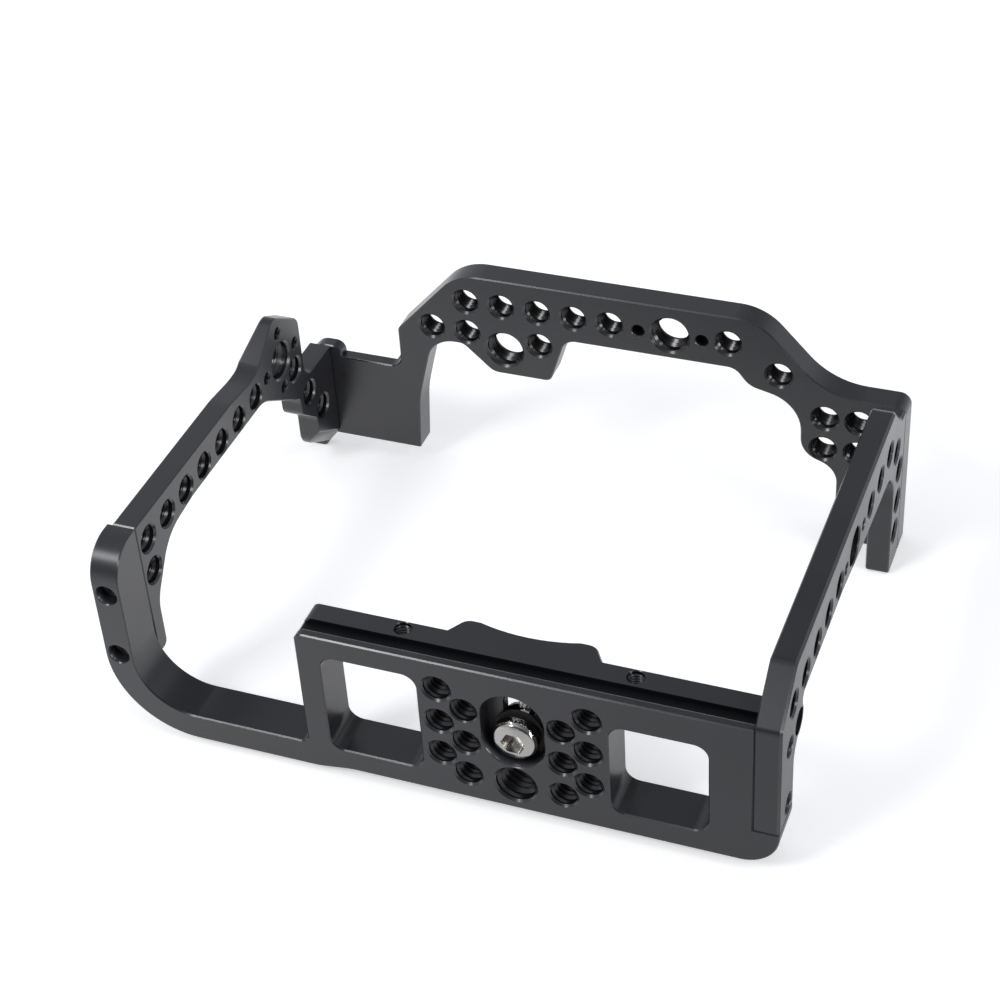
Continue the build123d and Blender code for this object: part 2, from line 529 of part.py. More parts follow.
def make_camera_screw():
    """Camera screw: low head with a hexagon socket, threaded shank and a clip groove."""
    head = rod_y(0, SCREW_Z, SCREW_HEAD_DIAMETER / 2, HEAD_SETBACK, HEAD_BACK)
    front_edge = head.edges().filter_by(GeomType.CIRCLE).sort_by(Axis.Y)[0]
    head = chamfer(front_edge, HEAD_CHAMFER)
    shank = rod_y(0, SCREW_Z, SCREW_DIAMETER / 2, HEAD_BACK, SCREW_TIP)
    tip_edge = shank.edges().filter_by(GeomType.CIRCLE).sort_by(Axis.Y)[-1]
    shank = chamfer(tip_edge, TIP_CHAMFER)
    screw = head + shank
    groove_start = CLIP_START - CLIP_SIDE_CLEARANCE
    groove_end = CLIP_END + CLIP_SIDE_CLEARANCE
    groove = rod_y(0, SCREW_Z, SCREW_DIAMETER, groove_start, groove_end)
    groove -= rod_y(0, SCREW_Z, SCREW_NECK_DIAMETER / 2, groove_start, groove_end)
    screw -= groove
    plane = Plane(origin=(0, HEAD_SETBACK, SCREW_Z), x_dir=(1, 0, 0), z_dir=(0, -1, 0))
    socket_face = plane * RegularPolygon(HEAD_SOCKET / 2, 6, major_radius=False)
    return screw - extrude(socket_face, amount=-HEAD_SOCKET_DEPTH)


def make_washer():
    """Washer that runs on the ledge in the slot."""
    outer = rod_y(0, SCREW_Z, WASHER_DIAMETER / 2, LEDGE_START - WASHER_THICKNESS, LEDGE_START)
    inner = rod_y(0, SCREW_Z, SCREW_DIAMETER / 2 + BORE_CLEARANCE, LEDGE_START - WASHER_THICKNESS, LEDGE_START)
    return outer - inner


def make_clip():
    """Open retaining clip in the screw's groove, behind the ledge."""
    ring = rod_y(0, SCREW_Z, CLIP_DIAMETER / 2, CLIP_START, CLIP_END)
    ring -= rod_y(0, SCREW_Z, SCREW_NECK_DIAMETER / 2 + BORE_CLEARANCE / 2, CLIP_START, CLIP_END)
    middle = (CLIP_START + CLIP_END) / 2
    return ring - Pos(0, middle, SCREW_Z + CLIP_DIAMETER / 2) * Box(CLIP_GAP, CLIP_THICKNESS * 2, CLIP_DIAMETER)


def make_screws():
    """The four pairs of joining screws, each pair as one group of two solids."""
    post = [
        Pos(POST_SCREW_X, POST_BORE_DEPTH, z) * Rot(90, 0, 0) * cap_screw(POST_SCREW_LENGTH)
        for z in POST_SCREW_Z
    ]
    foot_seat = RIGHT_OUT - JOIN_BORE_DEPTH
    foot = [Pos(foot_seat, y, z) * Rot(0, 90, 0) * cap_screw(JOIN_LENGTH) for y, z in FOOT_SCREWS]
    left_end = [
        Pos(LEFT_PLATE_MIDDLE, LEFT_END_SEAT, z) * Rot(-90, 0, 0) * cap_screw(JOIN_LENGTH, JOIN_LOW_HEAD_HEIGHT)
        for z in LEFT_TAB_SCREW_Z
    ]
    right_end = [
        Pos(RIGHT_PLATE_MIDDLE, RIGHT_END_SEAT, z) * Rot(-90, 0, 0) * cap_screw(JOIN_LENGTH)
        for z in RIGHT_END_SCREW_Z
    ]
    return {
        "left_post_screws": post,
        "right_foot_screws": foot,
        "top_left_screws": left_end,
        "top_right_screws": right_end,
    }


pieces = {
    "base_plate": make_base_plate(),
    "left_side_plate": make_left_side_plate(),
    "right_side_plate": make_right_side_plate(),
    "top_plate": make_top_plate(),
    "camera_screw": make_camera_screw(),
    "camera_screw_washer": make_washer(),
    "camera_screw_clip": make_clip(),
}
pieces.update(make_screws())

# ---- Move everything so that the footprint's centre is the origin -----------------------
solids_of = {name: shape if isinstance(shape, list) else [shape] for name, shape in pieces.items()}
boxes = [solid.bounding_box() for solids in solids_of.values() for solid in solids]
low_x = min(box.min.X for box in boxes)
high_x = max(box.max.X for box in boxes)
low_y = min(box.min.Y for box in boxes)
high_y = max(box.max.Y for box in boxes)
low_z = min(box.min.Z for box in boxes)
high_z = max(box.max.Z for box in boxes)
to_origin = Pos(-(low_x + high_x) / 2, -(low_y + high_y) / 2, -low_z)

os.makedirs("parts", exist_ok=True)
for name, solids in solids_of.items():
    moved = [to_origin * solid for solid in solids]
    export_step(moved[0] if len(moved) == 1 else Compound(children=moved), f"parts/{name}.step")
print("footprint", high_x - low_x, high_y - low_y, "height", high_z - low_z)
print("slot axis at X", -(low_x + high_x) / 2, "outer face at Y", -(low_y + high_y) / 2)
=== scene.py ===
# %% [markdown]
# # Dressing a camera cage
# The cage is a frame of black anodised plates that closes round a camera body. Its plates, screws and
# slots come from the construction model, already at their real size. This lesson adds what the machinist
# and the finisher add: broken edges, cut threads, the satin black coat, and the polished camera screw.

# %% Load the frame
import math
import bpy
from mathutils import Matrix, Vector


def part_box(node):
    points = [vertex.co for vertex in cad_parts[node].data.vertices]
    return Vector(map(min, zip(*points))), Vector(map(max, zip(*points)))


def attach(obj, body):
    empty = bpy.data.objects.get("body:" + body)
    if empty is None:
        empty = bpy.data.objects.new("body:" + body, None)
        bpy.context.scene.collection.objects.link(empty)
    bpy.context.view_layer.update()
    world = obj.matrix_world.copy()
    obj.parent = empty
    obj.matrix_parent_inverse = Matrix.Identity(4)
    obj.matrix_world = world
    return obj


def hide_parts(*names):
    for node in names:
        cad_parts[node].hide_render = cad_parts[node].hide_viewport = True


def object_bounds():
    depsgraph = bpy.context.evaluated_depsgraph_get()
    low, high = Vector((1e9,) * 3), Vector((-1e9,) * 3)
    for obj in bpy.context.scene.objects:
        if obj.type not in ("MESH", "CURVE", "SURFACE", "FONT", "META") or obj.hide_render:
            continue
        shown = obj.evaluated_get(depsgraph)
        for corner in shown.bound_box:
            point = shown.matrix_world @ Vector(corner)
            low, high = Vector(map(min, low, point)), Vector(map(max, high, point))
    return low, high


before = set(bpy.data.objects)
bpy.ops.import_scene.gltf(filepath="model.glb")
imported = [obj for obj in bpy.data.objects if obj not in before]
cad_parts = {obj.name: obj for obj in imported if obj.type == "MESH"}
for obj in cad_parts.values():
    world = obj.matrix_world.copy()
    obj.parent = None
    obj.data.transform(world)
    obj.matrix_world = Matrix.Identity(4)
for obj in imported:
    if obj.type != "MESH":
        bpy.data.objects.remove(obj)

from types import SimpleNamespace

import bmesh
import bpy
from mathutils import Euler, Matrix, Vector, geometry

MM = 0.001
cad_low, cad_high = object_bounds()
print("the cage measures", [round(side / MM, 1) for side in cad_high - cad_low], "mm")

# %% [markdown]
# ## Camera
# The cage is seen from its front right and from well above. A long lens keeps the plates' edges nearly
# parallel, as a product photographer would. The direction is given by two angles, and a small roll tilts
# the picture.

# %% Place the camera
CAMERA_PLACE = Vector((0.15975, -0.38275, 0.3657))
CAMERA_AZIMUTH = math.radians(23.0)
CAMERA_ELEVATION = math.radians(38.23)
CAMERA_ROLL = math.radians(-4.11)
LENS_MM = 81.41
SENSOR_MM = 36.0

camera_data = bpy.data.cameras.new("camera")
camera_data.lens = LENS_MM
camera_data.sensor_width = SENSOR_MM
camera = bpy.data.objects.new("camera", camera_data)
bpy.context.scene.collection.objects.link(camera)
looking = Euler((math.pi / 2 - CAMERA_ELEVATION, 0, CAMERA_AZIMUTH)).to_matrix()
rolled = looking @ Matrix.Rotation(CAMERA_ROLL, 3, "Z")
camera.matrix_world = Matrix.Translation(CAMERA_PLACE) @ rolled.to_4x4()
bpy.context.scene.camera = camera
bpy.context.scene.view_settings.view_transform = "Standard"
print("lens", LENS_MM, "mm")

# %% [markdown]
# ## Floor
# Satin black metal shows little colour of its own. What the eye reads is the studio that it reflects. The
# floor is mirrored in the front faces, and only there do its colour and glow carry painted light to the
# left and painted shade towards the front right.
# All materials here are built from shader nodes, and a few helpers keep that short.

# %% Helpers for shader nodes


def new_material(name):
    """An empty node material with a Principled shader, and its node tree."""
    material = bpy.data.materials.new(name)
    material.use_nodes = True
    tree = material.node_tree
    tree.nodes.clear()
    shader = tree.nodes.new("ShaderNodeBsdfPrincipled")
    output = tree.nodes.new("ShaderNodeOutputMaterial")
    tree.links.new(shader.outputs[0], output.inputs[0])
    return material, tree, shader


def set_inputs(node, values):
    """Sets a node's inputs, given by name or number."""
    for key, value in values.items():
        node.inputs[key].default_value = value


def add_node(tree, kind, values=None, **settings):
    """A node of this kind in the tree, with its plain settings and its inputs' values."""
    node = tree.nodes.new(kind)
    for name, value in settings.items():
        setattr(node, name, value)
    set_inputs(node, values or {})
    return node


def seen_rays(tree):
    """Two outputs: 1 for direct rays, also through glass, and 1 for these and the mirrored ones."""
    path = add_node(tree, "ShaderNodeLightPath")
    direct = add_node(tree, "ShaderNodeMath", operation="MAXIMUM")
    either = add_node(tree, "ShaderNodeMath", operation="MAXIMUM")
    tree.links.new(path.outputs["Is Camera Ray"], direct.inputs[0])
    tree.links.new(path.outputs["Is Transmission Ray"], direct.inputs[1])
    tree.links.new(direct.outputs[0], either.inputs[0])
    tree.links.new(path.outputs["Is Glossy Ray"], either.inputs[1])
    return direct.outputs[0], either.outputs[0]


print("helpers for materials are ready")

# %% Floor
FLOOR_SIZE = 6.0
FLOOR_GAP = 0.2 * MM
FLOOR_COLOUR = (0.86, 0.86, 0.87)
FLOOR_LIFT = 0.42
# Painted reflection: seen only in mirrors, the floor is painted lighter to the left and darker to the front
# right.
PAINTED_REFLECTION_NEAR, PAINTED_REFLECTION_FAR = 1.20, 0.31
NEAR, FAR = -0.05, 0.35
bpy.ops.object.select_all(action="DESELECT")
bpy.ops.mesh.primitive_plane_add(size=FLOOR_SIZE, location=(0, 0, cad_low.z - FLOOR_GAP))
floor = bpy.context.active_object
floor.name = "floor"
bpy.ops.object.transform_apply(location=True)
floor_material, tree, shader = new_material("studio_floor")
set_inputs(shader, {"Roughness": 0.7, "Specular IOR Level": 0.1, "Emission Color": (1, 1, 1, 1)})

place = add_node(tree, "ShaderNodeTexCoord")
forward_right = add_node(tree, "ShaderNodeVectorMath", {1: (1, -1, 0)}, operation="DOT_PRODUCT")
mirrored = {"From Min": NEAR, "From Max": FAR, "To Min": PAINTED_REFLECTION_NEAR - 1, "To Max": PAINTED_REFLECTION_FAR - 1}
change = add_node(tree, "ShaderNodeMapRange", mirrored)
level = add_node(tree, "ShaderNodeMath", {2: 1.0}, operation="MULTIPLY_ADD")
colour = add_node(tree, "ShaderNodeVectorMath", {0: FLOOR_COLOUR}, operation="SCALE")
lift = add_node(tree, "ShaderNodeMath", {1: FLOOR_LIFT}, operation="MULTIPLY")
glow = add_node(tree, "ShaderNodeMath", operation="MULTIPLY")
tree.links.new(place.outputs["Object"], forward_right.inputs[0])
tree.links.new(forward_right.outputs["Value"], change.inputs["Value"])
tree.links.new(add_node(tree, "ShaderNodeLightPath").outputs["Is Glossy Ray"], level.inputs[0])
tree.links.new(change.outputs["Result"], level.inputs[1])
tree.links.new(level.outputs[0], colour.inputs["Scale"])
tree.links.new(colour.outputs[0], shader.inputs["Base Color"])
tree.links.new(seen_rays(tree)[1], lift.inputs[0])
tree.links.new(lift.outputs[0], glow.inputs[0])
tree.links.new(level.outputs[0], glow.inputs[1])
tree.links.new(glow.outputs[0], shader.inputs["Emission Strength"])
floor.data.materials.append(floor_material)
print("floor", FLOOR_SIZE, "m wide")

# %% [markdown]
# ## Room
# Two dark cards hang in the pale room, one over the cage and one behind the camera. They keep the cage's
# top and its front slopes dark. The metal is judged in this room, and the camera sees the room itself as
# plain white. Each card is given by the direction towards it, the cosines where its soft edge starts and
# ends, and the share of the light that it keeps.

# %% Room with dark cards
ROOM_LIGHT = 0.72
ROOM_COLOUR = (0.96, 0.98, 1.04, 1)
CARDS = {
    "ceiling": (Vector((0.15, 0.60, 0.80)), 0.80, 0.97, 0.38),
    "behind_the_camera": (Vector((0.35, -0.93, 0.10)), 0.50, 0.92, 0.12),
}
world = bpy.data.worlds.new("room")
bpy.context.scene.world = world
world.use_nodes = True
tree = world.node_tree
tree.nodes.clear()


def dark_card(tree, towards, edge, middle, kept):
    """A soft-edged dark card: the share of the room's light that it keeps, by direction."""
    direction = add_node(tree, "ShaderNodeTexCoord")
    along = add_node(tree, "ShaderNodeVectorMath", {1: towards.normalized()}, operation="DOT_PRODUCT")
    fade = {"From Min": edge, "From Max": middle, "To Min": 1.0, "To Max": kept}
    share = add_node(tree, "ShaderNodeMapRange", fade, interpolation_type="SMOOTHSTEP")
    tree.links.new(direction.outputs["Generated"], along.inputs[0])
    tree.links.new(along.outputs["Value"], share.inputs["Value"])
    return share.outputs["Result"]


level = None
for card in CARDS.values():
    darker = add_node(tree, "ShaderNodeMath", {0: ROOM_LIGHT}, operation="MULTIPLY")
    if level is not None:
        tree.links.new(level, darker.inputs[0])
    tree.links.new(dark_card(tree, *card), darker.inputs[1])
    level = darker.outputs[0]
room = add_node(tree, "ShaderNodeBackground", {"Color": ROOM_COLOUR})
seen = add_node(tree, "ShaderNodeBackground", {"Color": (1, 1, 1, 1)})
mix = add_node(tree, "ShaderNodeMixShader")
out = add_node(tree, "ShaderNodeOutputWorld")
tree.links.new(level, room.inputs["Strength"])
tree.links.new(seen_rays(tree)[0], mix.inputs[0])
tree.links.new(room.outputs[0], mix.inputs[1])
tree.links.new(seen.outputs[0], mix.inputs[2])
tree.links.new(mix.outputs[0], out.inputs[0])
print("room with", len(CARDS), "dark cards")

# %% [markdown]
# ## Lamps
# A broad softbox over the left shoulder is the key. A second one lights the faces that look right, and a
# small lamp high on the right puts a line of light on the edges of the right plate.

# %% Lamps
LAMP_DISTANCE = 1.2
LAMPS = {
    "key_softbox": ((-0.40, -0.60, 0.70), 0.32, 4.5),
    "right_softbox": ((0.91, -0.30, 0.20), 0.36, 4.0),
    "high_right_lamp": ((0.64, -0.22, 0.71), 0.16, 1.0),
}
for name, (direction, size, power) in LAMPS.items():
    lamp_data = bpy.data.lights.new(name, "AREA")
    lamp_data.size = size
    lamp_data.energy = power
    lamp = bpy.data.objects.new(name, lamp_data)
    bpy.context.scene.collection.objects.link(lamp)
    place = Vector(direction).normalized() * LAMP_DISTANCE
    towards_cage = (-place).to_track_quat("-Z", "Y").to_matrix().to_4x4()
    lamp.matrix_world = Matrix.Translation(place) @ towards_cage
print(len(LAMPS), "lamps,", LAMP_DISTANCE, "m away")

# %% [markdown]
# ## The coat
# Hard anodising leaves an oxide skin dyed black. It isn't quite black: it is a deep, slightly blue grey
# with a satin sheen that brightens at a glancing angle, and bead blasting before the bath gives it a very
# fine grain. Broken edges are cut last and are a touch brighter. Tapped bores are smooth and the groove is
# dull, and both get darker coats, which are painted shade. The edge behind the lip that accessories slide
# along gets a pale coat, a painted highlight. One function makes all five.

# %% Anodised coat
GRAIN_SIZE = 0.12 * MM
GRAIN_STRENGTH = 0.4
CLOUD_SIZE = 18 * MM
CLOUD_LOW, CLOUD_HIGH = 0.3, 0.7
COLOUR_SPREAD = 0.15
ROUGHNESS_SPREAD = 0.03
OXIDE_IOR = 1.55


def anodised(name, colour, roughness, grain_depth, sheen):
    """Satin anodised aluminium with a blasted grain and faint clouds in the dye."""
    material, tree, shader = new_material(name)
    set_inputs(shader, {"IOR": OXIDE_IOR, "Specular IOR Level": sheen})
    place = add_node(tree, "ShaderNodeTexCoord")

    cloud = add_node(tree, "ShaderNodeTexNoise", {"Scale": 1 / CLOUD_SIZE, "Detail": 4})
    tree.links.new(place.outputs["Object"], cloud.inputs["Vector"])
    tint = add_node(tree, "ShaderNodeValToRGB")
    ends = ((CLOUD_LOW, 1 - COLOUR_SPREAD), (CLOUD_HIGH, 1 + COLOUR_SPREAD))
    for stop, (position, share) in zip(tint.color_ramp.elements, ends):
        stop.position = position
        stop.color = (*(channel * share for channel in colour), 1)
    tree.links.new(cloud.outputs["Fac"], tint.inputs["Fac"])
    tree.links.new(tint.outputs["Color"], shader.inputs["Base Color"])

    clouds = {"From Min": CLOUD_LOW, "From Max": CLOUD_HIGH}
    gloss = {"To Min": roughness - ROUGHNESS_SPREAD, "To Max": roughness + ROUGHNESS_SPREAD}
    polish = add_node(tree, "ShaderNodeMapRange", clouds | gloss)
    tree.links.new(cloud.outputs["Fac"], polish.inputs["Value"])
    tree.links.new(polish.outputs["Result"], shader.inputs["Roughness"])

    grain = add_node(tree, "ShaderNodeTexNoise", {"Scale": 1 / GRAIN_SIZE, "Detail": 2})
    bump = add_node(tree, "ShaderNodeBump", {"Distance": grain_depth, "Strength": GRAIN_STRENGTH})
    tree.links.new(place.outputs["Object"], grain.inputs["Vector"])
    tree.links.new(grain.outputs["Fac"], bump.inputs["Height"])
    tree.links.new(bump.outputs["Normal"], shader.inputs["Normal"])
    return material


coat = anodised("anodised_black", (0.0120, 0.0125, 0.0160), 0.32, 0.004 * MM, 0.5)
edge_coat = anodised("anodised_broken_edge", (0.020, 0.021, 0.024), 0.22, 0.002 * MM, 0.5)
# Painted shade: the bores' and the groove's coats are darker and less glossy than the plate's own coat.
bore_painted_shade_coat = anodised("anodised_bores_painted_shade", (0.0060, 0.0062, 0.0080), 0.22, 0.003 * MM, 0.45)
groove_painted_shade_coat = anodised("anodised_groove_painted_shade", (0.0040, 0.0042, 0.0055), 0.45, 0.004 * MM, 0.15)
# Painted highlight: a pale coat on the edge behind the groove's lip.
lip_painted_highlight_coat = anodised("anodised_lip_painted_highlight", (0.24, 0.24, 0.245), 0.30, 0.002 * MM, 0.5)
print("five finishes for the plates")

# %% [markdown]
# ## Copies of the plates
# A milled plate has knife-sharp edges until they are broken with a small chamfer. The construction model
# leaves these to the finisher. Each plate is copied, its loose triangles are merged into one skin, and
# flat areas are dissolved into whole faces, because a Bevel modifier needs clean faces on both sides of
# an edge.

# %% Copy the plates
MERGE = 0.001 * MM
FLAT = math.radians(0.3)


def select_only(*pieces):
    """Deselects all, then selects these objects, the last one active."""
    bpy.ops.object.select_all(action="DESELECT")
    for piece in pieces:
        piece.select_set(True)
    bpy.context.view_layer.objects.active = pieces[-1]


def edit_whole_mesh(*steps):
    """Runs each mesh operator with its settings on the active object, with the whole mesh selected."""
    bpy.ops.object.mode_set(mode="EDIT")
    for operator, settings in steps:
        bpy.ops.mesh.select_all(action="SELECT")
        operator(**settings)
    bpy.ops.object.mode_set(mode="OBJECT")


def merged_copy(node, name):
    """A copy of a construction node with its triangles merged and its flat areas dissolved."""
    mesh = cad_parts[node].data.copy()
    mesh.materials.clear()
    piece = bpy.data.objects.new(name, mesh)
    bpy.context.scene.collection.objects.link(piece)
    select_only(piece)
    edit_whole_mesh(
        (bpy.ops.mesh.remove_doubles, {"threshold": MERGE}),
        (bpy.ops.mesh.dissolve_limited, {"angle_limit": FLAT}),
    )
    return piece


PLATES = ("base_plate", "left_side_plate", "right_side_plate", "top_plate")
dressed = {node: merged_copy(node, f"{node}_finished") for node in PLATES}
print({node: len(piece.data.polygons) for node, piece in dressed.items()}, "faces")

# %% [markdown]
# ## The holes
# Rims and threads need to know where the holes are. A hole's wall is a ring of faces that stand along its
# axis and bend little from one to the next. So the walls are gathered face by face, and their width tells
# which hole it is. Where another cut opens the wall, the hole is centred on the part that is whole all
# round.

# %% Find the holes
SHARP = math.radians(30)
UPRIGHT = 0.01
HOLE_SIZES = {"quarter": 3.175 * MM, "three_eighths": 4.76 * MM, "m4": 2.0 * MM, "pin": 1.5 * MM}
SIZE_SLACK = 0.1 * MM


def walls_along(bm, axis):
    """Groups of faces that stand along the axis and bend little from one to the next."""
    upright = [face for face in bm.faces if abs(face.normal[axis]) < UPRIGHT]
    waiting = set(upright)
    for first in upright:
        if first not in waiting:
            continue
        waiting.discard(first)
        group = [first]
        for face in group:
            for edge in face.edges:
                if len(edge.link_faces) == 2 and edge.calc_face_angle() < SHARP:
                    more = [other for other in edge.link_faces if other in waiting]
                    waiting -= set(more)
                    group += more
        yield group


def find_holes(piece, axis):
    """The round holes along the axis, with their ends and the depth over which they are whole."""
    bm = bmesh.new()
    bm.from_mesh(piece.data)
    holes = []
    for wall in walls_along(bm, axis):
        corners = [vertex.co for face in wall for vertex in face.verts]
        low = [min(corner[i] for corner in corners) for i in range(3)]
        high = [max(corner[i] for corner in corners) for i in range(3)]
        middle = (low[axis] + high[axis]) / 2
        whole_low = max(corner[axis] for corner in corners if corner[axis] <= middle)
        whole_high = min(corner[axis] for corner in corners if corner[axis] >= middle)
        widths = [high[i] - low[i] for i in range(3) if i != axis]
        for size, radius in HOLE_SIZES.items():
            if all(abs(width - 2 * radius) < SIZE_SLACK for width in widths):
                centre = Vector([(low[i] + high[i]) / 2 for i in range(3)])
                centre[axis] = (whole_low + whole_high) / 2
                depth = whole_high - whole_low
                ends = {"low": low[axis], "high": high[axis]}
                holes.append(SimpleNamespace(axis=axis, size=size, centre=centre, depth=depth, **ends))
    bm.free()
    return holes


AXES = {"base_plate": (1, 2), "left_side_plate": (0,), "right_side_plate": (0,), "top_plate": (1,)}
holes_in = {node: [] for node in PLATES}
for node, axes in AXES.items():
    for axis in axes:
        holes_in[node] += find_holes(dressed[node], axis)
print({node: len(found) for node, found in holes_in.items()}, "holes")

# %% [markdown]
# ## How wide each edge is cut
# Every outward edge is cut at 45 degrees. The rims of the tapped holes get a wider countersink than the
# outline, as far as the nearest edge of the plate leaves room for it: where two cuts would meet, the skin
# folds over and shades black. So the room round each mouth is measured first.

# %% Measure the rims
EDGE_BREAK = 0.30 * MM
RIM_BREAK = 0.50 * MM
CUT_GAP = 0.05 * MM
FAR_AWAY = 1.0


def near(value, wanted):
    """True where two measures agree within the slack."""
    return abs(value - wanted) < SIZE_SLACK


def off_axis(point, hole):
    """How far a point lies from a hole's axis."""
    offset = point - hole.centre
    offset[hole.axis] = 0
    return offset.length


def rim_of(edge, holes):
    """The mouth that an edge runs round, as (hole number, level along its axis), or None."""
    middle = (edge.verts[0].co + edge.verts[1].co) / 2
    for number, hole in enumerate(holes):
        if hole.size != "pin" and near(off_axis(middle, hole), HOLE_SIZES[hole.size]):
            for level in (hole.low, hole.high):
                if near(middle[hole.axis], level):
                    return number, level
    return None


def rim_widths(sharp_edges, holes):
    """The countersink of each mouth: the usual one, or what the nearest edge of the plate leaves for it."""
    outline = [edge for edge in sharp_edges if rim_of(edge, holes) is None]
    widths = {}
    for number, hole in enumerate(holes):
        for level in (hole.low, hole.high):
            mouth = hole.centre.copy()
            mouth[hole.axis] = level
            distances = [FAR_AWAY]
            for edge in outline:
                first, last = edge.verts[0].co, edge.verts[1].co
                if near(first[hole.axis], level) and near(last[hole.axis], level):
                    along = geometry.intersect_point_line(mouth, first, last)[1]
                    nearest = first.lerp(last, min(1.0, max(0.0, along)))
                    distances.append((nearest - mouth).length)
            room_left = min(distances) - HOLE_SIZES[hole.size] - EDGE_BREAK - CUT_GAP
            widths[number, level] = max(0.0, min(RIM_BREAK, room_left))
    return widths


print("edges cut by", round(EDGE_BREAK / MM, 2), "mm, rims by up to", round(RIM_BREAK / MM, 2), "mm")

# %% [markdown]
# ## The widest cut
# The outer upper edge of the right plate is cut wider than all others. It is found as an outline: from
# the highest edge of the outer face, one edge leads to the next, and those that look up or lie in front
# are kept.

# %% Find the edges of the widest cut
WIDEST_BREAK = 0.60 * MM
FACING = 0.9
LOOKING_UP = 0.1


def widest_edges(sharp_edges, side):
    """The outline's edges between the face that looks to this side along X and the top or the front."""
    on_face = [e for e in sharp_edges if any(face.normal.x * side > FACING for face in e.link_faces)]
    if not on_face:
        return set()
    outline = [max(on_face, key=lambda edge: edge.verts[0].co.z)]
    waiting = set(on_face) - set(outline)
    for edge in outline:
        more = [other for other in waiting if set(other.verts) & set(edge.verts)]
        waiting -= set(more)
        outline += more
    looks_up = {e for e in outline if any(face.normal.z > LOOKING_UP for face in e.link_faces)}
    in_front = {e for e in outline if all(near(vertex.co.y, cad_low.y) for vertex in e.verts)}
    return looks_up | in_front


print("the widest cut is", round(WIDEST_BREAK / MM, 2), "mm")

# %% [markdown]
# ## Bores and the accessory groove
# The bores and the groove are finished apart from the plate's flat faces, so each face has to know where
# it lies. The groove runs along the base's upper edge, and its front lip is what an accessory slides along.
# The bores and the groove get painted shade, the edge behind the lip gets a painted highlight, and the
# groove's rear edge stays sharp.

# %% Know the bores and the groove
GROOVE_FRONT = cad_low.y + 2.15 * MM
GROOVE_BACK = GROOVE_FRONT + 3.45 * MM
GROOVE_DEPTH = 1.4 * MM
GROOVE_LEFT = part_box("camera_screw")[0].x - 60 * MM
STEEP = 0.5


def in_a_bore(face, holes):
    """True for a piece of a hole's wall."""
    for hole in holes:
        inside = off_axis(face.center, hole) < HOLE_SIZES[hole.size] + SIZE_SLACK
        between = hole.low < face.center[hole.axis] < hole.high
        if inside and between and abs(face.normal[hole.axis]) < STEEP:
            return True
    return False


def in_the_groove(point, top):
    """True for a place in the groove, below its upper edge."""
    between = GROOVE_FRONT - SIZE_SLACK < point.y < GROOVE_BACK + SIZE_SLACK
    below = top - GROOVE_DEPTH - SIZE_SLACK < point.z < top - SIZE_SLACK / 2
    return between and below and point.x > GROOVE_LEFT


def behind_the_lip(point, top):
    """True at the lip's rear edge, which gets a coat of painted highlight."""
    at_edge = abs(point.y - GROOVE_FRONT + EDGE_BREAK / 2) < EDGE_BREAK / 2
    return at_edge and point.z > top - EDGE_BREAK and point.x > GROOVE_LEFT


def on_the_groove_back(edge, top):
    """True for the groove's rear upper edge, which stays sharp."""
    return all(near(vertex.co.y, GROOVE_BACK) and near(vertex.co.z, top) for vertex in edge.verts)


print("groove", round((GROOVE_BACK - GROOVE_FRONT) / MM, 2), "mm wide")

# %% [markdown]
# ## Broken edges
# Each sharp edge gets a weight, which is its share of the widest cut, and one Bevel modifier cuts them
# all. Inner corners keep the cutter's shape. The modifier also gives the cut faces their own coat.

# %% Break the edges
COATS = (coat, edge_coat, bore_painted_shade_coat, groove_painted_shade_coat, lip_painted_highlight_coat)
# The bore and groove coats are painted shade, and the last coat is a painted highlight behind the lip.
ON_FLATS, ON_EDGES, IN_BORES, IN_GROOVE, LIP_PAINTED_HIGHLIGHT = range(len(COATS))
TO_TRIANGLES = (bpy.ops.mesh.quads_convert_to_tris, {"quad_method": "BEAUTY", "ngon_method": "BEAUTY"})


def weigh_edges(mesh, holes, side, groove_top):
    """Gives each outward edge its share of the widest cut."""
    bm = bmesh.new()
    bm.from_mesh(mesh)
    weight = bm.edges.layers.float.new("bevel_weight_edge")
    sharp_edges = [e for e in bm.edges if len(e.link_faces) == 2 and e.calc_face_angle_signed() > SHARP]
    widths = rim_widths(sharp_edges, holes)
    widest = widest_edges(sharp_edges, side)
    for edge in sharp_edges:
        rim = rim_of(edge, holes)
        if rim is not None:
            width = widths[rim]
        elif edge in widest:
            width = WIDEST_BREAK
        elif on_the_groove_back(edge, groove_top):
            width = 0.0
        else:
            width = EDGE_BREAK
        edge[weight] = width / WIDEST_BREAK
    bm.to_mesh(mesh)
    bm.free()


def cut_edges(piece):
    """Cuts the weighted edges with a Bevel modifier and divides all faces into triangles."""
    select_only(piece)
    bevel = piece.modifiers.new("edge_break", "BEVEL")
    bevel.limit_method = "WEIGHT"
    bevel.width = WIDEST_BREAK
    bevel.segments = 1
    bevel.material = ON_EDGES
    bevel.use_clamp_overlap = False
    bevel.loop_slide = False
    bpy.ops.object.modifier_apply(modifier="edge_break")
    edit_whole_mesh(TO_TRIANGLES)


print(len(COATS), "coats on each plate")

# %% [markdown]
# ## Coats and shading
# After the cut, the faces in the bores and in the groove get coats of painted shade, and those behind the
# lip a coat of painted highlight. The faces that the modifier leaves flat are shaded flat, so no reflection
# bends there, and only the curved ones are shaded smooth.

# %% Finish the faces
LIP_DROP = 0.12 * MM
SNAP = 0.01 * MM
SMOOTH_BELOW = math.radians(20)
ALONG_AN_AXIS = 0.9999


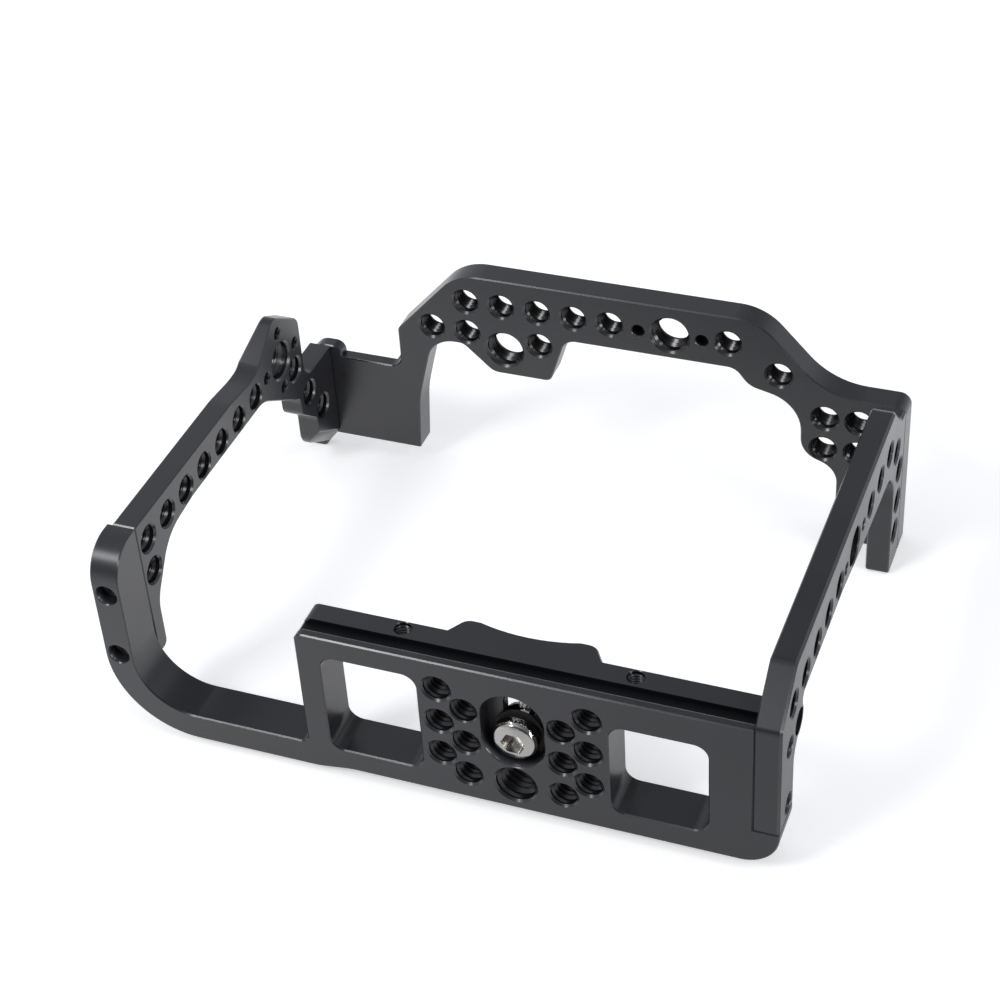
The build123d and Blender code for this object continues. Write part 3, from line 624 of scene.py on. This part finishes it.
def choose_coats(mesh, holes, groove_top):
    """Gives the bores and the groove painted shade, and the lip's rear edge a painted highlight."""
    for face in mesh.polygons:
        if face.material_index == ON_FLATS and in_a_bore(face, holes):
            face.material_index = IN_BORES
        elif face.material_index == ON_FLATS and in_the_groove(face.center, groove_top):
            face.material_index = IN_GROOVE
        # The edge behind the lip gets a painted highlight.
        elif face.material_index == ON_EDGES and behind_the_lip(face.center, groove_top):
            face.material_index = LIP_PAINTED_HIGHLIGHT


def true_up(mesh, groove_top):
    """Narrows the lip's rear cut, and puts points a hair off the outermost planes exactly on them."""
    for vertex in mesh.vertices:
        if near(vertex.co.y, GROOVE_FRONT) and near(vertex.co.z, groove_top - EDGE_BREAK):
            vertex.co.z = groove_top - LIP_DROP
    for axis in range(3):
        places = [vertex.co[axis] for vertex in mesh.vertices]
        for wall in (min(places), max(places)):
            for vertex in mesh.vertices:
                if abs(vertex.co[axis] - wall) < SNAP:
                    vertex.co[axis] = wall
    mesh.update()


def break_edges(piece, holes, side, groove_top):
    """Cuts a plate's edges, finishes its faces and sets how they are shaded."""
    for finish in COATS:
        piece.data.materials.append(finish)
    weigh_edges(piece.data, holes, side, groove_top)
    cut_edges(piece)
    choose_coats(piece.data, holes, groove_top)
    true_up(piece.data, groove_top)
    bpy.ops.object.shade_smooth_by_angle(angle=SMOOTH_BELOW)
    for face in piece.data.polygons:
        if face.material_index == ON_FLATS and max(abs(part) for part in face.normal) > ALONG_AN_AXIS:
            face.use_smooth = False


print("curves are shaded smooth below", round(math.degrees(SMOOTH_BELOW)), "degrees")

# %% [markdown]
# ## The hole at the foot's corner
# One tapped hole sits so close to the rear corner of the right plate's foot that only a thin land closes
# it. The construction model cuts straight past it. A rectangle wound round the hole's axis by the Screw
# modifier gives that land, a hair inside the plate's two faces so that no two surfaces coincide.

# %% Shape the land at the foot's corner
CORNER = Vector((0, -46.2 * MM, 32.9 * MM))
LAND_WIDTH = 0.60 * MM
LAND_INSET = 0.02 * MM
LAND_TURN = math.radians(128)
LAND_START = math.radians(-102)
LAND_STEPS = 24
Z_TO_X = Matrix(((0, 0, 1, 0), (1, 0, 0, 0), (0, 1, 0, 0), (0, 0, 0, 1)))
RING_MERGE = 0.0005 * MM


def wind(corners, angle, steps, rise=0.0):
    """Carries an outline round Z with the Screw modifier, given by its corners' radius and height."""
    bpy.ops.object.select_all(action="DESELECT")
    bpy.ops.mesh.primitive_circle_add(vertices=len(corners))
    ring = bpy.context.active_object
    for vertex, (radius, height) in zip(ring.data.vertices, corners):
        vertex.co = (radius, 0, height)
    turn = ring.modifiers.new("wind", "SCREW")
    turn.axis = "Z"
    turn.angle = angle
    turn.screw_offset = rise
    turn.steps = turn.render_steps = steps
    bpy.ops.object.modifier_apply(modifier="wind")
    return ring


def close_ring(corner_count):
    """Merges the active ring's doubled points, caps its two ends, turns it outwards and shades it."""
    edit_whole_mesh(
        (bpy.ops.mesh.remove_doubles, {"threshold": RING_MERGE}),
        (bpy.ops.mesh.fill_holes, {"sides": corner_count}),
        (bpy.ops.mesh.normals_make_consistent, {"inside": False}),
    )
    bpy.ops.object.shade_smooth_by_angle(angle=SHARP)


def land_at_the_corner(piece, holes):
    """A thin land round the outer side of the hole that lies at the foot's rear corner."""
    quarters = [hole for hole in holes if hole.size == "quarter"]
    hole = min(quarters, key=lambda hole: (hole.centre - CORNER).yz.length)
    half = (hole.high - hole.low) / 2 - LAND_INSET
    inner = HOLE_SIZES[hole.size]
    outer = inner + LAND_WIDTH
    corners = [(inner, -half), (outer, -half), (outer, half), (inner, half)]
    land = wind(corners, LAND_TURN, LAND_STEPS)
    land.data.materials.append(coat)
    close_ring(len(corners))
    middle = hole.centre.copy()
    middle[hole.axis] = (hole.low + hole.high) / 2
    land.data.transform(Matrix.Translation(middle) @ Z_TO_X @ Matrix.Rotation(LAND_START, 4, "Z"))
    select_only(land, piece)
    bpy.ops.object.join()


print("land", round(LAND_WIDTH / MM, 2), "mm wide")

# %% [markdown]
# ## The four plates
# Each plate now goes through the same steps. Only the right plate gets the widest cut and the land at its
# corner hole, and only the base has the groove, whose height is read from the holes in its upper edge.

# %% Finish the four plates
NO_GROOVE = -1.0
RIGHT, NEITHER = 1, 0
for node, piece in dressed.items():
    holes = holes_in[node]
    groove_top = max((hole.high for hole in holes if hole.axis == 2), default=NO_GROOVE)
    break_edges(piece, holes, RIGHT if node == "right_side_plate" else NEITHER, groove_top)
    if node == "right_side_plate":
        land_at_the_corner(piece, holes)
    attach(piece, "root")
    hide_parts(node)
    print(piece.name, len(piece.data.polygons), "faces")

# %% [markdown]
# ## Threads
# The holes are tapped. A thread is a ridge that winds round the wall: a triangle carried along a helix.
# One coil is modelled for each hole size and plate thickness, starting from a three-sided circle, and the
# Screw modifier winds it. Copies then go to all the holes of that size.

# %% Wind a thread
THREAD_PITCH = {"quarter": 1.27 * MM, "three_eighths": 1.5875 * MM, "m4": 0.7 * MM}
THREAD_STEPS = 28
DEPTH_SHARE = 0.50
ROOT_SHARE = 0.42
BITE = 0.04 * MM
RUN_OUT = 0.6
CREST = 0.5
THINNEST = 0.05


def run_out(coil, wall, depth, pitch, half_length):
    """Lets a thread's crest sink into the wall towards both ends, as the tap leaves it."""
    for vertex in coil.data.vertices:
        inward = wall - vertex.co.xy.length
        if inward > CREST * depth:
            end_distance = half_length - abs(vertex.co.z)
            share = min(1.0, max(THINNEST, end_distance / (RUN_OUT * pitch)))
            grow = (wall - inward * share) / (wall - inward)
            vertex.co.x *= grow
            vertex.co.y *= grow


def thread_coil(size, length):
    """A thread ridge inside a hole of this size, along +Z, centred on the origin."""
    radius = HOLE_SIZES[size]
    pitch = THREAD_PITCH[size]
    depth = DEPTH_SHARE * pitch
    half_root = ROOT_SHARE * pitch
    turns = max(1.0, (length - 2 * RIM_BREAK - 2 * half_root) / pitch)
    half_length = turns * pitch / 2
    wall = radius + BITE
    start = -half_length
    corners = [(radius - depth, start), (wall, start + half_root), (wall, start - half_root)]
    coil = wind(corners, 2 * math.pi * turns, round(THREAD_STEPS * turns), pitch * turns)
    run_out(coil, wall, depth, pitch, half_length)
    close_ring(len(corners))
    return coil


print("threads for", ", ".join(THREAD_PITCH))

# %% Tap all the holes
LEAST_PITCHES = 3
ALONG = {
    0: Matrix.Rotation(math.pi / 2, 4, "Y"),
    1: Matrix.Rotation(-math.pi / 2, 4, "X"),
    2: Matrix.Identity(4),
}


def tap(holes):
    """One object with a thread in each tapped hole that is deep enough, and how many there are."""
    coils = {}
    copies = []
    for hole in holes:
        if hole.size not in THREAD_PITCH or hole.depth < LEAST_PITCHES * THREAD_PITCH[hole.size]:
            continue
        kind = (hole.size, round(hole.depth / MM, 1))
        if kind not in coils:
            coils[kind] = thread_coil(hole.size, hole.depth)
        mesh = coils[kind].data.copy()
        mesh.transform(Matrix.Translation(hole.centre) @ ALONG[hole.axis])
        copies.append(bpy.data.objects.new("thread", mesh))
        bpy.context.scene.collection.objects.link(copies[-1])
    for coil in coils.values():
        bpy.data.objects.remove(coil)
    count = len(copies)
    select_only(*copies)
    bpy.ops.object.join()
    return bpy.context.active_object, count


for node, holes in holes_in.items():
    threads, count = tap(holes)
    threads.name = f"{node}_threads"
    # The threads take the bores' coat of painted shade.
    threads.data.materials.clear()
    threads.data.materials.append(bore_painted_shade_coat)
    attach(threads, "root")
    print(threads.name, len(threads.data.polygons), "faces in", count, "holes")

# %% [markdown]
# ## Small parts
# The camera screw is polished stainless steel. Its head is turned on a lathe and then tumbled, so its
# face is a shallow dome with softened dents rather than a true plane, and that is what breaks up its
# reflections. The joining screws are black oxide steel, the washer nylon and the clip spring steel.

# %% Finishes of the small parts
MARK_SIZE = 0.3 * MM
DENT_SIZE = 3.2 * MM


def plain_metal(name, colour, metallic, roughness, scratch, dent_depth=0.0):
    """Metal or plastic with fine turning marks, and shallow dents where it was tumbled."""
    material, tree, shader = new_material(name)
    set_inputs(shader, {"Base Color": (*colour, 1), "Metallic": metallic})
    place = add_node(tree, "ShaderNodeTexCoord")
    marks = add_node(tree, "ShaderNodeTexNoise", {"Scale": 1 / MARK_SIZE, "Detail": 3})
    gloss = {"To Min": roughness - scratch, "To Max": roughness + scratch}
    polish = add_node(tree, "ShaderNodeMapRange", gloss)
    tree.links.new(place.outputs["Object"], marks.inputs["Vector"])
    tree.links.new(marks.outputs["Fac"], polish.inputs["Value"])
    tree.links.new(polish.outputs["Result"], shader.inputs["Roughness"])
    if dent_depth:
        dents = add_node(tree, "ShaderNodeTexVoronoi", {"Scale": 1 / DENT_SIZE}, feature="SMOOTH_F1")
        bump = add_node(tree, "ShaderNodeBump", {"Distance": dent_depth})
        tree.links.new(place.outputs["Object"], dents.inputs["Vector"])
        tree.links.new(dents.outputs["Distance"], bump.inputs["Height"])
        tree.links.new(bump.outputs["Normal"], shader.inputs["Normal"])
    return material


stainless = plain_metal("polished_stainless", (0.40, 0.39, 0.375), 1.0, 0.16, 0.05, 0.35 * MM)
black_oxide = plain_metal("black_oxide_steel", (0.06, 0.06, 0.065), 0.6, 0.40, 0.08)
spring_steel = plain_metal("spring_steel", (0.25, 0.25, 0.26), 1.0, 0.30, 0.08)
nylon = plain_metal("black_nylon", (0.03, 0.03, 0.03), 0.0, 0.55, 0.08)
FINISHES = {
    "camera_screw_washer": nylon,
    "camera_screw_clip": spring_steel,
    "left_post_screws": black_oxide,
    "right_foot_screws": black_oxide,
    "top_left_screws": black_oxide,
    "top_right_screws": black_oxide,
}
for node, finish in FINISHES.items():
    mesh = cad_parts[node].data
    mesh.materials.clear()
    mesh.materials.append(finish)
print(len(FINISHES), "small parts finished")

# %% [markdown]
# ## The head of the camera screw
# The head's face is finely divided first, because a dome needs points to carry it. Each point then moves
# outwards by a parabola over the head's radius, and by less the deeper it lies, so the rim stays in
# place.

# %% Divide the head of the camera screw
HEAD_DEPTH = 1.6 * MM
DIVISIONS = 4
LONGEST_SIDE = 0.5 * MM
screw_low, screw_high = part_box("camera_screw")
screw = merged_copy("camera_screw", "camera_screw_finished")
bpy.ops.object.mode_set(mode="EDIT")
bpy.ops.mesh.select_mode(type="FACE")
bpy.ops.mesh.select_all(action="SELECT")
bpy.ops.mesh.quads_convert_to_tris(quad_method="BEAUTY", ngon_method="BEAUTY")
for _ in range(DIVISIONS):
    bpy.ops.mesh.select_all(action="DESELECT")
    bm = bmesh.from_edit_mesh(screw.data)
    for face in bm.faces:
        in_head = face.calc_center_median().y < screw_low.y + HEAD_DEPTH
        face.select_set(in_head and max(edge.calc_length() for edge in face.edges) > LONGEST_SIDE)
    bmesh.update_edit_mesh(screw.data)
    bpy.ops.mesh.subdivide(number_cuts=1)
bpy.ops.mesh.select_all(action="SELECT")
bpy.ops.mesh.quads_convert_to_tris()
bpy.ops.object.mode_set(mode="OBJECT")
print("screw divided into", len(screw.data.polygons), "faces")

# %% Dome the head of the camera screw
DOME_RISE = 1.2 * MM
HEAD_RADIUS = 5.3 * MM
screw_middle = (screw_low + screw_high) / 2
for vertex in screw.data.vertices:
    from_axis = (vertex.co - screw_middle).xz.length
    share = max(0.0, 1 - (vertex.co.y - screw_low.y) / HEAD_DEPTH)
    vertex.co.y -= DOME_RISE * share * max(0.0, 1 - (from_axis / HEAD_RADIUS) ** 2)
bpy.ops.object.shade_smooth_by_angle(angle=SMOOTH_BELOW)
screw.data.materials.append(stainless)
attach(screw, "screw")
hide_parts("camera_screw")
print("screw head domed by", DOME_RISE / MM, "mm")
